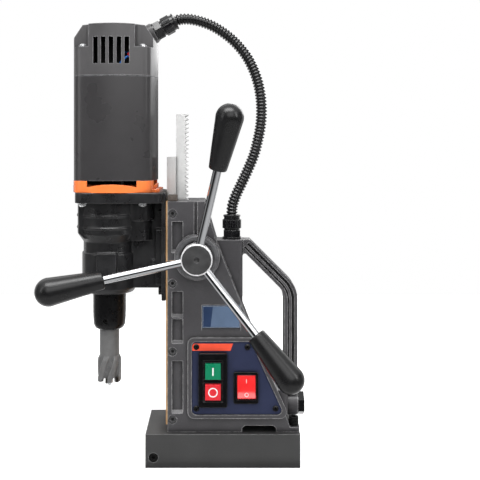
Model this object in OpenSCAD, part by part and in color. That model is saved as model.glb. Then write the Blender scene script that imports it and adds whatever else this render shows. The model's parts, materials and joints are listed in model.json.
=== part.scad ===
/* [Magnet base] */
// Length of the magnet along the press
base_l = 165; // [150:1:200]
// Width of the magnet
base_w = 80; // [76:1:100]
// Height of the magnet block
base_h = 36; // [34:1:40]

/* [Column] */
// Height of the column's top face above the work
column_top = 283.4; // [280:0.1:300]
// Distance from the middle plane to the column's side faces
column_side = 33.5; // [32:0.5:36]
// Front face of the column, measured from the magnet's middle
column_front = -59.2; // [-60:0.1:-58]

/* [Feed] */
// Teeth on the feed pinion
feed_teeth = 16; // [14:1:18]
// Gear module of the rack and its pinion
rack_module = 1.5; // [1.5:0.5:1.5]
// Angle of each spoke, from the rear towards the top
spoke_angles = [77, 191, 309];
// Lean of the spokes away from the column
spoke_lean = 12; // [5:1:15]
// Radius of a spoke
spoke_r = 4.5; // [4:0.5:5]
// Radius of the hub
hub_r = 16.6; // [16:0.1:18]

/* [Motor] */
// Motor axis, measured from the magnet's middle
motor_x = -118; // [-120:1:-116]
// Half the width of the motor between its bulged faces
motor_half = 46; // [44:1:48]
// Radius of the motor's corners about its axis
motor_corner = 54; // [52:1:56]
// Underside of the motor cap
cap_z = 417.5; // [410:0.5:420]
// Top of the motor cap
motor_top = 477; // [474:0.5:480]

/* [Tool] */
// Spindle axis, measured from the magnet's middle
spindle_x = -126; // [-126:1:-126]
// Radius of the cutter's standard shank
shank_r = 9.525; // [9.525:0.001:9.525]
// Radius over the cutter's flutes
cutter_r = 13; // [12:0.5:15]
// Radius of the pilot pin
pilot_r = 3.97; // [3.17:0.4:3.97]

/* [Hidden] */
$fn = 64;
e = 0.01;
slack = 0.03;        // radial running clearance of a shaft
gap = 0.3;           // clearance between pieces that slide past each other
by = base_w / 2;
bx = base_l / 2;
feed = [-27.5, 224.5];
pinion_r = rack_module * feed_teeth / 2;
rack_line = feed.x - pinion_r;
slide_front = -61.3;
slide_back = -51.3;
slide_screw_z = [184, 270];
slide_half = 13.9;   // half the slide's width at its front face
dovetail = 0.525;    // how fast the slide widens towards its back
plate_front = -66;
flange_z = [282, 293.2];
fan_z = [293.2, 305.9];
fan_vent = 26.4;     // half the width of an air window in the fan ring
fan_sill = 5.9;      // height of a window's lower edge at its ends, above the ring's foot
fan_bow = 3;         // rise of that edge in the middle
fan_floor = 301.2;   // top of the ring's floor, just under the fan's blades
S = [spindle_x, 0];
M = [motor_x, 0];
pressure = 25;
// Gear train: armature 12 to 42, intermediate 12 to 34
m1 = 1;
m2 = 1.5;
t_motor = 12;
t_wheel = 42;
t_pinion = 12;
t_spindle = 34;
c1 = m1 * (t_motor + t_wheel) / 2;
c2 = m2 * (t_pinion + t_spindle) / 2;
axes_gap = motor_x - spindle_x;
ix = (c2 * c2 - c1 * c1 + axes_gap * axes_gap) / (2 * axes_gap);
I = [spindle_x + ix, -sqrt(c2 * c2 - ix * ix)];
shaft_r = 5;
gland_tilt = 29;
gland_l = 26.7;
dome_r = 300;        // radius of the motor cap's domed top
seam = 0.8;          // shadow line between the motor housing and its cap
conduit_r = 6.3;
block_x = 10.4;
// Conduit's centre line, rear of the motor to the column block, as [x, z]
route = [
    [-52.5, 482.5], [-46, 484.5], [-36, 484.5], [-24, 482], [-11, 477], [2, 469], [14, 459],
    [25, 446], [33, 432], [39, 416], [42.5, 399], [43.5, 382], [42.5, 366], [39.5, 350],
    [35, 333], [28, 316], [21, 301], [14.5, 287], [11, 276], [block_x, 266.5]
];
gland_foot = route[0] - gland_l * [cos(gland_tilt), sin(gland_tilt)];
block_back = 22;     // rear face of the block that carries the conduit's gland
handle_half = 12;    // half the handle's width
handle_t = 14.3;     // thickness of the handle's bar
handle_in = 68.1;    // inner edge of the handle's vertical bar
handle_sum = 250;    // x + z along the inner edge of its sloped bar
handle_bend = 22;    // radius inside its bend
handle_end = 208;    // z - x where the grooves begin
panel = [[-33.4, 55.1], [66, 55.1], [30.2, 133.4], [-33.4, 133.4]];
plate = [[-33.1, 55.4], [65.5, 55.4], [30, 133.1], [-33.1, 133.1]];
panel_rim = [[-37.6, 50.9], [72.4, 50.9], [32.9, 137.6], [-37.6, 137.6]];
panel_y = -34.5;
panel_t = 2;
panel_holes = [[-28.4, 127.6], [26.6, 127.6], [-28.4, 61.6], [56.6, 61.6]];
pocket_z = [[231.3, 261.8], [162.2, 186.8], [133.9, 157.3], [58.9, 112.2]];
gib_z = [270.5, 195.4, 122.3, 49.4];
rim_z = 82;          // cutter's rim
shoulder_z = [106.6, 110.9];
switch_x = [-26, 4.8];
switch_z = [64.3, 122];
button_x = [-18.8, -2.2];
on_z = [94.6, 111.6];
off_z = [73.1, 89.7];
rocker_x = [15.5, 35];
rocker_axis = [-34, 85];

// Helpers ------------------------------------------------------------------

function unit(v) = v / norm(v);

// Arc that rounds corner b between a and c
function corner(a, b, c, r, n = 6) =
    let (u = unit(a - b), v = unit(c - b), h = acos(u * v) / 2)
    let (o = b + unit(u + v) * r / sin(h), s = b + u * r / tan(h), t = b + v * r / tan(h))
    let (a0 = atan2(s.y - o.y, s.x - o.x), a1 = atan2(t.y - o.y, t.x - o.x))
    let (turn = (a1 - a0 + 540) % 360 - 180)
    [for (i = [0:n]) o + r * [cos(a0 + turn * i / n), sin(a0 + turn * i / n)]];

// Outline p with every corner rounded
function rounded(p, r) = let (n = len(p))
    [for (i = [0:n - 1]) each corner(p[(i + n - 1) % n], p[i], p[(i + 1) % n], r)];

// Box given by its lowest and highest corners
module box(a, b) {
    translate(a) cube(b - a);
}

// Extrudes an [x, z] outline along Y
module along_y(y0, y1) {
    translate([0, y1, 0]) rotate([90, 0, 0]) linear_extrude(y1 - y0) children();
}

// Extrudes a [y, z] outline along X
module along_x(x0, x1) {
    translate([x0, 0, 0]) rotate([90, 0, 90]) linear_extrude(x1 - x0) children();
}

module rod_x(x0, x1, y, z, r) {
    translate([x0, y, z]) rotate([0, 90, 0]) cylinder(h = x1 - x0, r = r);
}

module rod_y(y0, y1, x, z, r) {
    translate([x, y1, z]) rotate([90, 0, 0]) cylinder(h = y1 - y0, r = r);
}

module rod_z(z0, z1, p, r) {
    translate([p.x, p.y, z0]) cylinder(h = z1 - z0, r = r);
}

module tube_z(z0, z1, p, r, inner) {
    difference() {
        rod_z(z0, z1, p, r);
        rod_z(z0 - 1, z1 + 1, p, inner);
    }
}

// Rounded rectangle from a to b in the plane
module soft_rect(a, b, r) {
    translate([a.x + r, a.y]) square([b.x - a.x - 2 * r, b.y - a.y]);
    translate([a.x, a.y + r]) square([b.x - a.x, b.y - a.y - 2 * r]);
    for (x = [a.x + r, b.x - r], y = [a.y + r, b.y - r]) translate([x, y]) circle(r = r);
}

// Slot with round ends, w long and 2 r wide
module racetrack(w, r) {
    square([w - 2 * r, 2 * r], center = true);
    for (s = [-1, 1]) translate([s * (w / 2 - r), 0]) circle(r = r);
}

// Cap screw with its head's underside at the origin and its shank along -Z
module cap_screw(head_r, head_h, r, l) {
    difference() {
        union() {
            cylinder(h = head_h, r = head_r);
            translate([0, 0, -l]) cylinder(h = l + e, r = r);
        }
        translate([0, 0, head_h * 0.45]) cylinder(h = head_h, r = head_r * 0.58, $fn = 6);
    }
}

// Ball bearing shown as its rings, with a groove in each side
module bearing(z0, z1, p, r, inner) {
    mid = (r + inner) / 2;
    band = (r - inner) * 0.18;
    difference() {
        tube_z(z0, z1, p, r, inner);
        for (z = [z0 - 1, z1 - 0.8]) tube_z(z, z + 1.8, p, mid + band, mid - band);
    }
}

// Polar angle of an involute at radius q for base radius rb
function inv(rb, q) = let (a = acos(min(1, rb / q))) tan(a) * 180 / PI - a;

// Outline of an involute gear with one tooth on the x axis
function gear_points(m, z, thin = 3.5) =
    let (r = m * z / 2, rb = r * cos(pressure), tip = r + m, root = r - 1.25 * m)
    let (half = (90 - thin) / z + inv(rb, r), low = max(rb, root), n = 4)
    [for (k = [0:z - 1]) each concat(
        root < rb ? [[root, k * 360 / z - half]] : [],
        [for (i = [0:n]) let (q = low + (tip - low) * i / n)
            [q, k * 360 / z - half + inv(rb, q)]],
        [for (i = [n:-1:0]) let (q = low + (tip - low) * i / n)
            [q, k * 360 / z + half - inv(rb, q)]],
        root < rb ? [[root, k * 360 / z + half]] : []
    )];

module gear_2d(m, z, turn = 0) {
    polygon([for (p = gear_points(m, z)) p.x * [cos(p.y + turn), sin(p.y + turn)]]);
}

// Motor's outline: four bulged faces inside a round corner, moved in by d
module motor_2d(d = 0) {
    bulge = 115;
    translate(M) intersection() {
        circle(r = motor_corner - d);
        translate([bulge - motor_half, 0]) circle(r = bulge - d);
        translate([motor_half - bulge, 0]) circle(r = bulge - d);
        translate([0, bulge - motor_half]) circle(r = bulge - d);
        translate([0, motor_half - bulge]) circle(r = bulge - d);
    }
}

// Places children at the four motor screws
module motor_corners(y = 34) {
    for (sx = [-1, 1], sy = [-1, 1]) translate([motor_x + sx * 32, sy * y, 0]) children();
}

// Magnet base ---------------------------------------------------------------

module magnet_base() color("#4f4f4f") difference() {
    box([-bx, -by, 0], [bx, by, base_h]);
    translate([0, 0, -e]) linear_extrude(14) difference() {
        racetrack(132, 31);
        racetrack(98, 14);
    }
    for (s = [-1, 1]) {
        rod_y(min(s * (by - 6), s * (by + 1)), max(s * (by - 6), s * (by + 1)), -74, 11, 5);
        rod_y(min(s * 22, s * by), max(s * 22, s * by), -74, 11, 3);
        rod_z(16, base_h + 1, [77, s * 24], 4);
    }
    for (x = [-32, 6]) {
        rod_z(-1, 8, [x, 0], 6.6);
        rod_z(-1, base_h + 1, [x, 0], 4);
    }
}

module magnet_coil() color("#b06a32") translate([0, 0, 4]) linear_extrude(10 - e) difference() {
    racetrack(131, 30.5);
    racetrack(99, 14.5);
}

module magnet_potting() color("#20242a") linear_extrude(4) difference() {
    racetrack(132, 31);
    racetrack(98, 14);
}

module base_side_screws() color("#202020") for (s = [-1, 1])
    translate([-74, s * (by - 6), 11]) rotate([-s * 90, 0, 0]) cap_screw(4.6, 5, 3, 12);

module base_screws() color("#202020") {
    for (s = [-1, 1]) translate([77, s * 24, base_h + 5]) cap_screw(5.15, 9, 4, 24);
    for (x = [-32, 6]) translate([x, 0, 8]) rotate([180, 0, 0]) cap_screw(6.5, 7.5, 4, 38);
}

// Column --------------------------------------------------------------------

// Side pocket cut into the -Y face, with a sloped lower end
module side_pocket(z0, z1) {
    along_x(-54.7, -42.9) polygon([
        [-column_side - 1, z1], [-column_side + 3, z1], [-column_side + 3, z0],
        [-column_side, z0 - 3], [-column_side - 1, z0 - 3]
    ]);
}

// Half the width of the dovetail at x, plus d
function flank(x, d) = slide_half + (x - slide_front) * dovetail + d;

// Front channel for the slide, its liners and the rack, in plan
module channel_2d() {
    half = [[-60, flank(-60, 1.95)], [-50.9, flank(-50.9, 1.95)], [-50.9, 8.6], [-36.6, 8.6]];
    polygon(concat(half, [for (i = [3:-1:0]) [half[i].x, -half[i].y]]));
}

module column_body() {
    along_y(-column_side, column_side) polygon([
        [column_front, base_h], [column_front, column_top], [-19.6, column_top],
        [-6.8, 240.2], [63.1, 65], [72, 42], [72, base_h]
    ]);
    linear_extrude(240) soft_rect([-20, -15], [block_back, 15], 4);
    translate([0, 0, base_h]) linear_extrude(42) soft_rect([0, -24], [71, 24], 6);
    translate([0, 0, base_h]) linear_extrude(5) soft_rect([0, -column_side], [bx, column_side], 4);
    rod_x(60, 83, 0, 57, 12.6);
    rod_y(-45, 0, feed.x, feed.y, 24);
    rod_y(0, 38, feed.x, feed.y, 19);
    along_y(-column_side - 2, -column_side + 1) polygon(rounded(panel_rim, 7));
}

module column_casting() color("#606064") difference() {
    intersection() {
        column_body();
        box([-100, -100, base_h], [100, 100, 300]);
    }
    translate([0, 0, base_h + 8]) linear_extrude(300) channel_2d();
    rod_y(-10.5, 10.5, feed.x, feed.y, 15);
    box([-45, -8.6, feed.y - 15], [feed.x, 8.6, feed.y + 15]);
    rod_y(-50, 50, feed.x, feed.y, 11);
    rod_y(-46, -43.5, feed.x, feed.y, 20.5);
    // Space for the switches and the board, closed by the panel
    along_y(-column_side - 3, 22)
        polygon(rounded([[-29.4, 59.4], [57.4, 59.4], [27.6, 129.4], [-29.4, 129.4]], 4));
    along_y(-column_side - 3, panel_y + panel_t) polygon(rounded(panel, 5));
    for (p = panel_holes) rod_y(-column_side, -22, p.x, p.y, 1.7);
    // Strap slot above the magnet
    along_y(-50, 50) polygon([
        [20.7, base_h - 1], [57.1, base_h - 1], [57.1, 40.5], [54.2, 43], [23.6, 43], [20.7, 40.5]
    ]);
    for (s = [0, 1]) mirror([0, s, 0]) {
        for (z = pocket_z) side_pocket(z[0], z[1]);
        box([-30.9, -column_side - 1, 246.4], [-27.3, -column_side + 1.6, column_top + 1]);
    }
    for (z = gib_z) {
        rod_y(-column_side - 1, -column_side + 6, -54.1, z, 4.6);
        rod_y(-column_side - 1, -15, -54.1, z, 2.5);
    }
    // Recess of the name plate, with a sloped lower edge
    along_x(-22.6, 19) polygon([
        [-column_side - 1, 172.2], [-column_side + 1.2, 172.2], [-column_side + 1.2, 147.2],
        [-column_side, 144.6], [-column_side - 1, 144.6]
    ]);
    rod_z(120, 241, [block_x, 0], 8);
    rod_x(50, 84, 0, 57, 8);
    for (s = [-1, 1]) rod_z(30, 45, [77, s * 24], 4.4);
    for (x = [-32, 6]) rod_z(30, 47, [x, 0], 4);
}

// Liner on the +Y side of the channel: a flange on the front face and a leg on the slope
module gib_2d() {
    polygon([
        [-61.1, flank(-61.1, 0.25)], [-61.1, 33], [column_front, 33],
        [column_front, flank(column_front, 1.9)], [-50.95, flank(-50.95, 1.9)],
        [-50.95, flank(-50.95, 0.25)]
    ]);
}

module gib_strips() color("#e8b070") for (s = [0, 1]) mirror([0, s, 0])
    translate([0, 0, base_h + 8.2]) linear_extrude(column_top - base_h - 8.2) gib_2d();

module gib_screws() color("#202020") for (z = gib_z)
    translate([-54.1, 6 - column_side, z]) rotate([90, 0, 0])
        cap_screw(3.95, 5, 2.5, column_side - 6 - flank(2.5 - 54.1, 1.9) - e);

module slide_wiper() color("#7a4a2a") for (s = [0, 1]) mirror([0, s, 0])
    box([-59, 20.4, column_top], [-49, 31.5, column_top + 7]);

// Line along the handle's bar, at distance d from its inner edge, from [x, z] at the top
function lane(d) =
    let (sum = handle_sum + d * sqrt(2), x = handle_in + d)
    let (top = [(sum - handle_end) / 2, (sum + handle_end) / 2])
    concat([top], corner(top, [x, sum - x], [x, 100], handle_bend + d, 8), [[x, 96]]);

// Handle: a straight bar down from the column's top, a rounded bend and a vertical bar
module carry_handle() color("#606064") {
    outer_sum = handle_sum + handle_t * sqrt(2);
    outer_x = handle_in + handle_t;
    start = block_back + 0.2;
    bar = concat(
        [[start, 240], [outer_sum - 240, 240]],
        corner([outer_sum - 240, 240], [outer_x, outer_sum - outer_x], [outer_x, 100], 32, 10),
        [[outer_x, 74.2], [71.2, 74.2], [71.2, 78.2], [handle_in, 78.2]],
        corner([handle_in, 100], [handle_in, handle_sum - handle_in], [start, handle_sum - start],
            handle_bend, 8),
        corner([40, handle_sum - 40], [start, handle_sum - start], [start, 200], 2.2, 4)
    );
    difference() {
        along_y(-handle_half, handle_half) polygon(bar);
        // Two grooves in each side, with a rib between them
        for (s = [0, 1], d = [[3.6, 5.4], [8, 11]]) mirror([0, s, 0])
            along_y(-handle_half - 1, -handle_half + 4.5) polygon(concat(
                lane(d[1]), [for (k = [len(lane(d[0])) - 1:-1:0]) lane(d[0])[k]]));
    }
}

// Controls --------------------------------------------------------------------

module control_panel() color("#2a3252") difference() {
    along_y(panel_y, panel_y + panel_t - e) polygon(rounded(plate, 4.7));
    box([switch_x[0] + 1.8, -40, switch_z[0] + 2.8], [switch_x[1] - 1.8, -30, switch_z[1] - 2.8]);
    box([13.2, -40, 70.2], [37.3, -30, 99.8]);
    for (p = panel_holes) rod_y(-40, -30, p.x, p.y, 1.9);
}

module panel_screws() color("#202020") for (p = panel_holes)
    translate([p.x, panel_y, p.y]) rotate([90, 0, 0]) difference() {
        union() {
            cylinder(h = 0.8, r = 3.1);
            translate([0, 0, 0.8]) cylinder(h = 0.9, r1 = 3.1, r2 = 1.9);
            translate([0, 0, -9]) cylinder(h = 9 + e, r = 1.6);
        }
        translate([0, 0, 0.5]) cylinder(h = 2, r = 1.15, $fn = 6);
    }

module name_plate() color("#3d4f70")
    along_y(-column_side, -column_side + 1.2) polygon([[-22, 147.8], [18.4, 147.8],
        [18.4, 171.6], [-22, 171.6]]);

// Switch body behind the panel and its raised surround
module motor_switch_housing() color("#141414") difference() {
    union() {
        along_y(-40.6, panel_y) soft_rect([switch_x[0], switch_z[0]], [switch_x[1], switch_z[1]], 2);
        box([switch_x[0] + 2, panel_y - e, switch_z[0] + 3], [switch_x[1] - 2, -14, switch_z[1] - 3]);
    }
    box([-20.6, -42, 70.6], [-0.5, -39.4, 114.2]);
    for (z = [on_z, off_z])
        box([button_x[0] - gap, -42, z[0] - gap], [button_x[1] + gap, -24, z[1] + gap]);
}

module push_button(z, front) {
    box([button_x[0], front, z[0]], [button_x[1], -30, z[1]]);
    rod_y(-30 - e, -27.4, (button_x[0] + button_x[1]) / 2, (z[0] + z[1]) / 2, 4);
}

module on_button() color("#0f9a63") push_button(on_z, -42.4);

module off_button() color("#e8323c") push_button(off_z, -43.6);

module rocker_housing() color("#141414") difference() {
    union() {
        along_y(-37, panel_y) soft_rect([11.5, 67.3], [37.9, 101.1], 2);
        box([13.4, panel_y - e, 70.4], [37.1, -15, 99.6]);
    }
    box([rocker_x[0] - gap, -40, rocker_axis[1] - 13.3], [rocker_x[1] + gap, -20,
        rocker_axis[1] + 13.3]);
}

module magnet_rocker() color("#e8323c") along_x(rocker_x[0], rocker_x[1])
    translate(rocker_axis) intersection() {
        circle(r = 12.9);
        polygon([[-2.4, 14], [-3.4, 0], [-9.2, -14], [3, -14], [6, 0], [3, 14]]);
    }

module control_board() color("#2f6a48") {
    box([-24, 14, 64], [24, 15.6, 124]);
    box([-20, 2, 96], [4, 14, 118]);
    box([8, 6, 68], [22, 14, 84]);
    rod_y(1, 14, -12, 78, 7);
    for (x = [-21, 21], z = [67, 121]) rod_y(15.6, 22, x, z, 2.5);
}

// Conduit glands ----------------------------------------------------------------

// Gland standing on the origin, for a conduit that ends at height l
module gland(l, nut_r) {
    difference() {
        union() {
            cylinder(h = 2, r = nut_r);
            translate([0, 0, 2 - e]) cylinder(h = 8, r = nut_r, $fn = 6);
            translate([0, 0, 10 - 2 * e]) cylinder(h = l - 12, r = 8.6);
            translate([0, 0, 11]) cylinder(h = l - 15.6, r = nut_r - 0.5);
            translate([0, 0, l - 4.6 - e]) cylinder(h = 2, r1 = nut_r - 0.5, r2 = 8.6);
            translate([0, 0, l - 2]) cylinder(h = 2, r = 9.5);
            translate([0, 0, -9]) cylinder(h = 9 + e, r = 7.9);
        }
        translate([0, 0, -10]) cylinder(h = l + 20, r = 5.6);
    }
}

module column_gland() color("#161616") translate([block_x, 0, 240]) gland(26.5, 10.5);

module motor_gland() color("#161616")
    translate([gland_foot.x, 0, gland_foot.y]) rotate([0, 90 - gland_tilt, 0])
        gland(gland_l - gap, 10.6);

module mains_gland() color("#161616") difference() {
    union() {
        rod_x(83, 83.8, 0, 57, 11.4);
        translate([83.8 - e, 0, 57]) rotate([0, 90, 0]) cylinder(h = 6.4, r = 12.7, $fn = 6);
        rod_x(70, 83 + e, 0, 57, 7.9);
    }
    rod_x(69, 92, 0, 57, 4.5);
}

// Direction of the route at point i
function heading(i) = let (n = len(route))
    i == 0 ? [cos(gland_tilt), sin(gland_tilt)] : i == n - 1 ? [0, -1]
    : unit(route[i + 1] - route[i - 1]);

module conduit() color("#161616") {
    sides = 12;
    rings = len(route);
    points = [for (i = [0:rings - 1], j = [0:sides - 1])
        let (d = heading(i), a = j * 360 / sides)
        [route[i].x - d.y * conduit_r * cos(a), conduit_r * sin(a),
            route[i].y + d.x * conduit_r * cos(a)]];
    polyhedron(points, concat(
        [[for (j = [0:sides - 1]) j]],
        [for (i = [0:rings - 2], j = [0:sides - 1]) [i * sides + j, (i + 1) * sides + j,
            (i + 1) * sides + (j + 1) % sides, i * sides + (j + 1) % sides]],
        [[for (j = [sides - 1:-1:0]) (rings - 1) * sides + j]]
    ));
}

// Feed ------------------------------------------------------------------------

module feed_bushes() color("#c08a50") for (y = [[-45.6, -17], [17, 38.4]])
    difference() {
        rod_y(y[0], y[1], feed.x, feed.y, 11);
        rod_y(y[0] - 1, y[1] + 1, feed.x, feed.y, 8 + slack);
    }

module feed_pinion_shaft() color("#b8babd") difference() {
    union() {
        rod_y(-61, 43, feed.x, feed.y, 8);
        translate([feed.x, 8, feed.y]) rotate([90, 0, 0]) linear_extrude(16)
            gear_2d(rack_module, feed_teeth);
    }
    rod_y(-62, -46, feed.x, feed.y, 2.6);
}

// Points children along spoke a, from the feed axis outwards
module on_spoke(a) {
    translate([feed.x, -54, feed.y]) rotate([0, -a, 0]) rotate([0, 0, -spoke_lean])
        rotate([0, 90, 0]) children();
}

module feed_hub() color("#d4d6d8") difference() {
    union() {
        rod_y(-61.2, -48, feed.x, feed.y, hub_r);
        rod_y(-62.2, -61.2 + e, feed.x, feed.y, hub_r - 0.4);
        rod_y(-48 - e, -46.4, feed.x, feed.y, 14);
    }
    rod_y(-63, -40, feed.x, feed.y, 8);
    for (a = spoke_angles) on_spoke(a) translate([0, 0, 9]) cylinder(h = 20, r = spoke_r);
}

module hub_cap() color("#3c3c3c") difference() {
    union() {
        rod_y(-63.8, -62.2, feed.x, feed.y, hub_r - 1.6);
        rod_y(-62.2 - e, -61, feed.x, feed.y, 7.9);
        rod_y(-62.2 - e, -48, feed.x, feed.y, 2.6);
    }
    rod_y(-64.2, -62.8, feed.x, feed.y, 2.2);
}

module spokes() color("#d8dadc") for (a = spoke_angles)
    on_spoke(a) translate([0, 0, 9.5]) cylinder(h = 109, r = spoke_r);

// Half outline of a knob from its narrow end to its round end
function knob_outline() = let (l = 70, r = 14.5, c = l - r)
    concat([[0, 0], [8.6, 0], [9.6, 1.2]], [for (a = [-4:9.4:90.1]) [r * cos(a), c + r * sin(a)]]);

module knobs() color("#2a2a2a") for (a = spoke_angles)
    on_spoke(a) translate([0, 0, 98.6]) difference() {
        rotate_extrude() polygon(concat(knob_outline(), [[0, 70]]));
        translate([0, 0, -1]) cylinder(h = 21, r = spoke_r);
    }

module shaft_retainer() color("#909294") {
    difference() {
        rod_y(38.5, 40, feed.x, feed.y, 13);
        rod_y(38, 41, feed.x, feed.y, 8);
    }
    difference() {
        rod_y(40, 41.4, feed.x, feed.y, 10.5);
        rod_y(39, 42, feed.x, feed.y, 8);
    }
}

// Carriage ----------------------------------------------------------------------

module gearbox_outer() {
    // Flange under the motor, joined to the back plate
    translate([0, 0, flange_z[0]]) linear_extrude(flange_z[1] - flange_z[0])
        soft_rect([-158.5, -45], [plate_front + 2, 45], 11);
    translate([0, 0, flange_z[0]]) linear_extrude(flange_z[1] - flange_z[0])
        translate([-80, -33]) square([80 + plate_front + 1, 66]);
    // Barrel around the spindle
    rod_z(247, flange_z[0] + e, S, 35);
    translate([S.x, S.y, 238]) cylinder(h = 9 + e, r1 = 28.5, r2 = 35);
    rod_z(226, 238 + e, S, 28.5);
    rod_z(187, 226 + e, S, 30);
    translate([S.x, S.y, 182]) cylinder(h = 5 + e, r1 = 26.5, r2 = 30);
    for (z = [253, 266]) rod_z(z, z + 1.6, S, 36);
    box([-136, -31.6, 196], [-114.4, 31.6, 227.4]);
    // Flat on the barrel's far side, running out into the cone
    along_y(-25, 25) polygon([[-156.5, flange_z[0] + e], [-156.5, 248.4], [-150, 242],
        [-140, 242], [-140, flange_z[0] + e]]);
    // Web to the back plate, with its thicker root and a small ledge
    box([-104, -12, 187], [plate_front + e, 12, flange_z[0] + e]);
    box([-73, -20, 191], [plate_front + e, 20, 252]);
    box([-78, -14, 214], [plate_front + e, 14, 218]);
    box([plate_front, -33, 176.5], [slide_front, 33, flange_z[1]]);
    // Stepped boss of the intermediate shaft
    rod_z(262, flange_z[0] + e, I + [1.6, -0.4], 16.2);
    rod_z(240, 262 + e, I + [0.8, -0.2], 14.2);
    box([-100, -12, 236], [-84, 4, 262]);
}

module gearbox_housing() color("#2e2e30") difference() {
    gearbox_outer();
    rod_z(274, 300, S, 31);
    rod_z(253, 300, S, 28);
    rod_z(283.6, 300, I, 23.6);
    rod_z(283.6, 300, M, 10);
    rod_z(252.4, 300, I, 11);
    rod_z(244, 260, I, 8);
    rod_z(180, 260, S, 17);
    rod_z(180, 198, S, 22);
    motor_corners(35) rod_z(270, 300, [0, 0], 2.5);
    for (y = [-9, 9], z = slide_screw_z) rod_x(-70, -60, y, z, 3);
}

module gear_plate() color("#8c8f92") difference() {
    rod_z(274, 281, S, 30.95);
    rod_z(270, 290, S, 13);
    rod_z(270, 290, I, 7);
}

module slide_bar() color("#dcdcda") difference() {
    translate([0, 0, 177]) linear_extrude(154) polygon([
        [slide_front, flank(slide_front, 0)], [slide_back, flank(slide_back, 0)],
        [slide_back, -flank(slide_back, 0)], [slide_front, -flank(slide_front, 0)]]);
    for (y = [-9, 9], z = slide_screw_z) rod_x(-62, -53, y, z, 3);
}

module rack() color("#e0e0de") {
    pitch = PI * rack_module;
    low = 190;
    high = 378.4;
    first = ceil((low - feed.y) / pitch + 0.5);
    last = floor((high - feed.y) / pitch - 0.5);
    tip = rack_line + rack_module;
    root = rack_line - 1.25 * rack_module;
    wide = pitch / 4 + tan(pressure) * rack_module + 0.08;
    narrow = pitch / 4 - tan(pressure) * 1.25 * rack_module + 0.08;
    along_y(-8, 8) polygon(concat(
        [[slide_back, low], [tip, low]],
        [for (i = [first:last]) let (z = feed.y + i * pitch) each
            [[tip, z - wide], [root, z - narrow], [root, z + narrow], [tip, z + wide]]],
        [[tip, high], [slide_back, high]]
    ));
}

module slide_screws() color("#202020") for (y = [-9, 9], z = slide_screw_z)
    translate([plate_front, y, z]) rotate([0, -90, 0]) cap_screw(4.9, 4.5, 3, 12.4);

module gearbox_screws() color("#c8cacc") motor_corners(35)
    translate([0, 0, flange_z[0]]) rotate([180, 0, 0]) difference() {
        union() {
            cylinder(h = 2.4, r = 4.6);
            translate([0, 0, 2.4 - e]) cylinder(h = 1.6, r1 = 4.6, r2 = 2.8);
            translate([0, 0, -26]) cylinder(h = 26 + e, r = 2.5);
        }
        translate([0, 0, 2]) cylinder(h = 4, r = 1.6, $fn = 6);
    }

// Motor ------------------------------------------------------------------------

// Air window of the fan ring: open at the top, with a lower edge bowed upwards
module fan_window() {
    polygon(concat(
        [[fan_vent, fan_z[1] + 1], [-fan_vent, fan_z[1] + 1]],
        [for (t = [-1:0.125:1]) [t * fan_vent, fan_z[0] + fan_sill + fan_bow * (1 - t * t)]]
    ));
}

module fan_ring() color("#ff7a3a") difference() {
    union() {
        difference() {
            union() {
                translate([0, 0, fan_z[0]]) linear_extrude(fan_z[1] - fan_z[0]) motor_2d(-0.5);
                translate([0, 0, fan_z[0]]) linear_extrude(3)
                    soft_rect([-100, -32], [-68, 32], 6);
            }
            translate([0, 0, fan_z[0] + 5]) linear_extrude(20) motor_2d(3.5);
            for (a = [0, 90]) translate(M) rotate([0, 0, a]) along_y(-70, 70) fan_window();
        }
        // Raised floor under the blades of the fan
        rod_z(fan_z[0] + 1, fan_floor, M, 37);
    }
    rod_z(290, 310, M, 11);
    rod_z(290, 310, I, 8);
    motor_corners(35) rod_z(290, 310, [0, 0], 2.5);
}

module motor_housing() color("#4a4a4a") difference() {
    union() {
        difference() {
            translate([0, 0, fan_z[1]]) linear_extrude(cap_z - fan_z[1]) motor_2d();
            translate([0, 0, fan_z[1] - 1]) linear_extrude(102) motor_2d(3.5);
            translate([0, 0, fan_z[1] + 106]) linear_extrude(20) motor_2d(3.5);
        }
        motor_corners() rod_z(390, cap_z, [0, 0], 5.2);
    }
    motor_corners() rod_z(398, 430, [0, 0], 2.5);
    rod_z(300, 430, M, 11);
    for (a = [45:90:359]) translate(M) rotate([0, 0, a]) rod_z(400, 430, [30, 0], 9);
}

// Solid of the cap, moved in by d: sides sloped at the top under a shallow dome
module cap_solid(d, z0) {
    slope = 1.5;
    shift = d * norm([1, 1 / slope]);
    reach = [60 - shift, 34 - shift];
    low = motor_top - 3.5 - slope * (reach[0] - reach[1]);
    high = motor_top + slope * 3;
    top_x = reach[1] - (high - motor_top + 3.5) / slope;
    intersection() {
        translate([0, 0, z0]) linear_extrude(high - z0) motor_2d(d);
        translate(M) along_y(-60, 60) polygon([[-reach[0], z0 - 1], [reach[0], z0 - 1],
            [reach[0], low], [top_x, high], [-top_x, high], [-reach[0], low]]);
        translate([motor_x, 0, motor_top - dome_r]) sphere(r = dome_r - d, $fn = 256);
    }
}

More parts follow.
